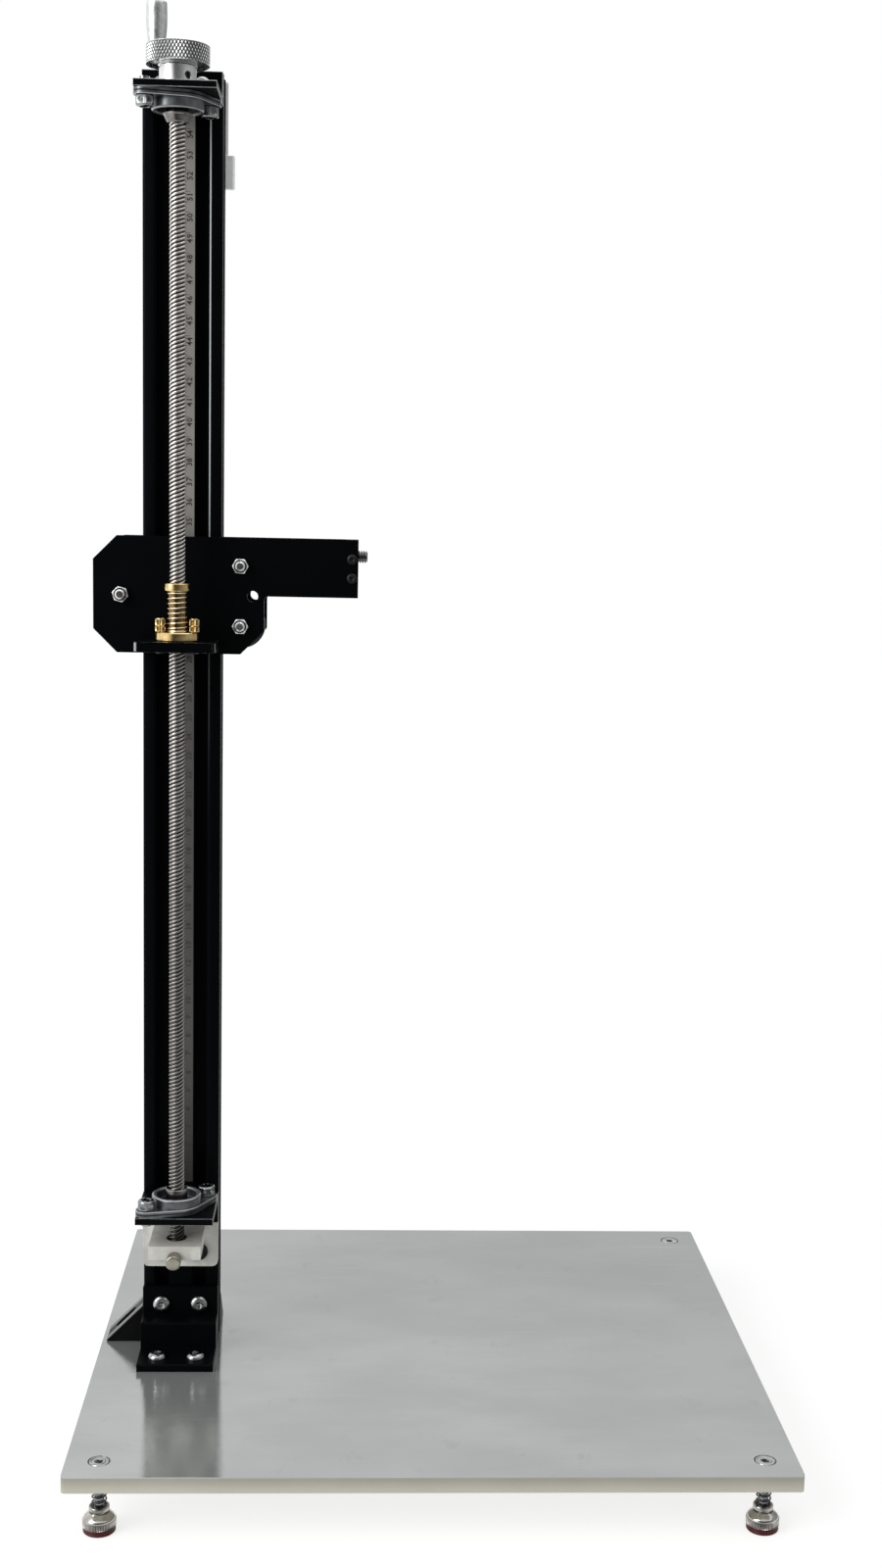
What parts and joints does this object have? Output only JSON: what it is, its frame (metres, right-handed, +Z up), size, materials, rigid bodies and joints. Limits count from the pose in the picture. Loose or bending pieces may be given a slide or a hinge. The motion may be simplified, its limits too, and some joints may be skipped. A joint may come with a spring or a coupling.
{
  "type": "copy stand",
  "caption": "Copy stand: a flat metal baseboard on sprung levelling feet carries a slotted column, on which a hand-turned lead screw raises and lowers a wheeled carriage with a camera arm.",
  "frame": {"origin": "centre of the baseboard's flat top face", "axes": "+X to the right, the way the camera arm points; +Y to the back; +Z up, along the column"},
  "size_m": [0.3518, 0.32, 0.722],
  "materials": {
    "board_aluminium": "rolled, lightly brushed, with a soft sheen",
    "black_anodised": "black anodised, fine satin",
    "black_bracket": "black powder coat",
    "black_plastic": "moulded, matt",
    "steel": "turned, bright",
    "screw_steel": "stainless, bright",
    "lead_screw_steel": "rolled thread, slightly warm",
    "spring_steel": "dark drawn wire",
    "nickel": "nickel plated, knurled rims",
    "bearing_housing": "grey cast metal with turned rims",
    "brass": "turned, slightly tarnished",
    "satin_aluminium": "clear anodised, knurled rim",
    "white_plastic": "off-white, fine layer lines",
    "pale_plastic": "pale, slightly cloudy",
    "scale_grey": "grey strip with black figures and marks",
    "red_pad": "dark red, matt"
  },
  "bodies": {
    "stand": {"base_plate": "board_aluminium", "foot_screw_front_left": "screw_steel", "foot_screw_front_right": "screw_steel", "foot_screw_back_left": "screw_steel", "foot_screw_back_right": "screw_steel", "foot_spring_front_left": "spring_steel", "foot_spring_front_right": "spring_steel", "foot_spring_back_left": "spring_steel", "foot_spring_back_right": "spring_steel", "column": "black_anodised", "scale_strip": "scale_grey", "foot_angle": "black_anodised", "corner_bracket_side": "black_bracket", "corner_bracket_rear": "black_bracket", "column_clip": "pale_plastic", "back_strip": "pale_plastic", "lower_bracket": "black_anodised", "upper_bracket": "black_anodised", "lock_block": "white_plastic", "lower_bearing_housing": "bearing_housing", "lower_bearing_bolt_left": "screw_steel", "lower_bearing_bolt_right": "screw_steel", "upper_bearing_housing": "bearing_housing", "upper_bearing_bolt_left": "screw_steel", "upper_bearing_bolt_right": "screw_steel"},
    "spindle": {"lead_screw": "lead_screw_steel", "lower_bearing_ring": "steel", "upper_bearing_ring": "steel", "handwheel": "satin_aluminium", "handwheel_set_screw": "screw_steel", "handle_pin": "steel"},
    "crank_handle": {"handle": "satin_aluminium"},
    "thumb_screw": {"lock_screw": "steel"},
    "carriage": {"carriage_front_plate": "black_anodised", "carriage_rear_plate": "black_anodised", "wheel_sleeve_left": "steel", "wheel_sleeve_upper_right": "steel", "wheel_sleeve_lower_right": "steel", "wheel_bolt_left": "screw_steel", "wheel_bolt_upper_right": "screw_steel", "wheel_bolt_lower_right": "screw_steel", "nut_bracket": "black_anodised", "flange_nut": "brass", "nut_spring": "steel", "nut_collar": "brass", "nut_screw_left": "brass", "nut_screw_right": "brass", "arm_end_block": "black_anodised"},
    "left_wheel": {"wheel_left": "black_plastic"},
    "upper_right_wheel": {"wheel_upper_right": "black_plastic"},
    "lower_right_wheel": {"wheel_lower_right": "black_plastic"},
    "mount_screw": {"camera_screw": "steel"},
    "front_left_pad": {"foot_pad_front_left": "red_pad"},
    "front_left_nut": {"foot_nut_front_left": "nickel"},
    "front_right_pad": {"foot_pad_front_right": "red_pad"},
    "front_right_nut": {"foot_nut_front_right": "nickel"},
    "back_left_pad": {"foot_pad_back_left": "red_pad"},
    "back_left_nut": {"foot_nut_back_left": "nickel"},
    "back_right_pad": {"foot_pad_back_right": "red_pad"},
    "back_right_nut": {"foot_nut_back_right": "nickel"}
  },
  "joints": [
    {"name": "carriage_lift", "type": "slide", "parent": "stand", "child": "carriage", "axis": [0, 0, 1], "range_m": [-0.279, 0.21]},
    {"name": "spindle_turn", "type": "hinge", "parent": "stand", "child": "spindle", "pos_m": [-0.1325, -0.0361, 0.6], "axis": [0, 0, 1], "continuous": true},
    {"name": "handle_spin", "type": "hinge", "parent": "spindle", "child": "crank_handle", "pos_m": [-0.1429, -0.03252, 0.677], "axis": [0, 0, 1], "continuous": true},
    {"name": "thumb_screw_turn", "type": "hinge", "parent": "stand", "child": "thumb_screw", "pos_m": [-0.1325, -0.0491, 0.063], "axis": [0, 1, 0], "range_deg": [-1080, 150]},
    {"name": "left_wheel_roll", "type": "hinge", "parent": "carriage", "child": "left_wheel", "pos_m": [-0.1628, 0, 0.4035], "axis": [0, 1, 0], "continuous": true},
    {"name": "upper_right_wheel_roll", "type": "hinge", "parent": "carriage", "child": "upper_right_wheel", "pos_m": [-0.1022, 0, 0.41875], "axis": [0, 1, 0], "continuous": true},
    {"name": "lower_right_wheel_roll", "type": "hinge", "parent": "carriage", "child": "lower_right_wheel", "pos_m": [-0.1022, 0, 0.38825], "axis": [0, 1, 0], "continuous": true},
    {"name": "mount_screw_turn", "type": "hinge", "parent": "carriage", "child": "mount_screw", "pos_m": [-0.0457, 0, 0.4243], "axis": [1, 0, 0], "continuous": true},
    {"name": "front_left_foot_slide", "type": "slide", "parent": "stand", "child": "front_left_pad", "axis": [0, 0, 1], "range_m": [-0.003, 0.004], "deforming": ["foot_spring_front_left"]},
    {"name": "front_left_nut_turn", "type": "hinge", "parent": "front_left_pad", "child": "front_left_nut", "pos_m": [-0.159, -0.144, -0.028], "axis": [0, 0, 1], "range_deg": [-1360, 1810]},
    {"name": "front_right_foot_slide", "type": "slide", "parent": "stand", "child": "front_right_pad", "axis": [0, 0, 1], "range_m": [-0.003, 0.004], "deforming": ["foot_spring_front_right"]},
    {"name": "front_right_nut_turn", "type": "hinge", "parent": "front_right_pad", "child": "front_right_nut", "pos_m": [0.159, -0.144, -0.028], "axis": [0, 0, 1], "range_deg": [-1360, 1810]},
    {"name": "back_left_foot_slide", "type": "slide", "parent": "stand", "child": "back_left_pad", "axis": [0, 0, 1], "range_m": [-0.003, 0.004], "deforming": ["foot_spring_back_left"]},
    {"name": "back_left_nut_turn", "type": "hinge", "parent": "back_left_pad", "child": "back_left_nut", "pos_m": [-0.159, 0.144, -0.028], "axis": [0, 0, 1], "range_deg": [-1360, 1810]},
    {"name": "back_right_foot_slide", "type": "slide", "parent": "stand", "child": "back_right_pad", "axis": [0, 0, 1], "range_m": [-0.003, 0.004], "deforming": ["foot_spring_back_right"]},
    {"name": "back_right_nut_turn", "type": "hinge", "parent": "back_right_pad", "child": "back_right_nut", "pos_m": [0.159, 0.144, -0.028], "axis": [0, 0, 1], "range_deg": [-1360, 1810]}
  ],
  "couplings": [
    {"joint": "spindle_turn", "follows": "carriage_lift", "rad_per_m": -785.4},
    {"joint": "left_wheel_roll", "follows": "carriage_lift", "rad_per_m": 90.9},
    {"joint": "upper_right_wheel_roll", "follows": "carriage_lift", "rad_per_m": -90.9},
    {"joint": "lower_right_wheel_roll", "follows": "carriage_lift", "rad_per_m": -90.9},
    {"joint": "front_left_nut_turn", "follows": "front_left_foot_slide", "rad_per_m": 7854},
    {"joint": "front_right_nut_turn", "follows": "front_right_foot_slide", "rad_per_m": 7854},
    {"joint": "back_left_nut_turn", "follows": "back_left_foot_slide", "rad_per_m": 7854},
    {"joint": "back_right_nut_turn", "follows": "back_right_foot_slide", "rad_per_m": 7854}
  ]
}
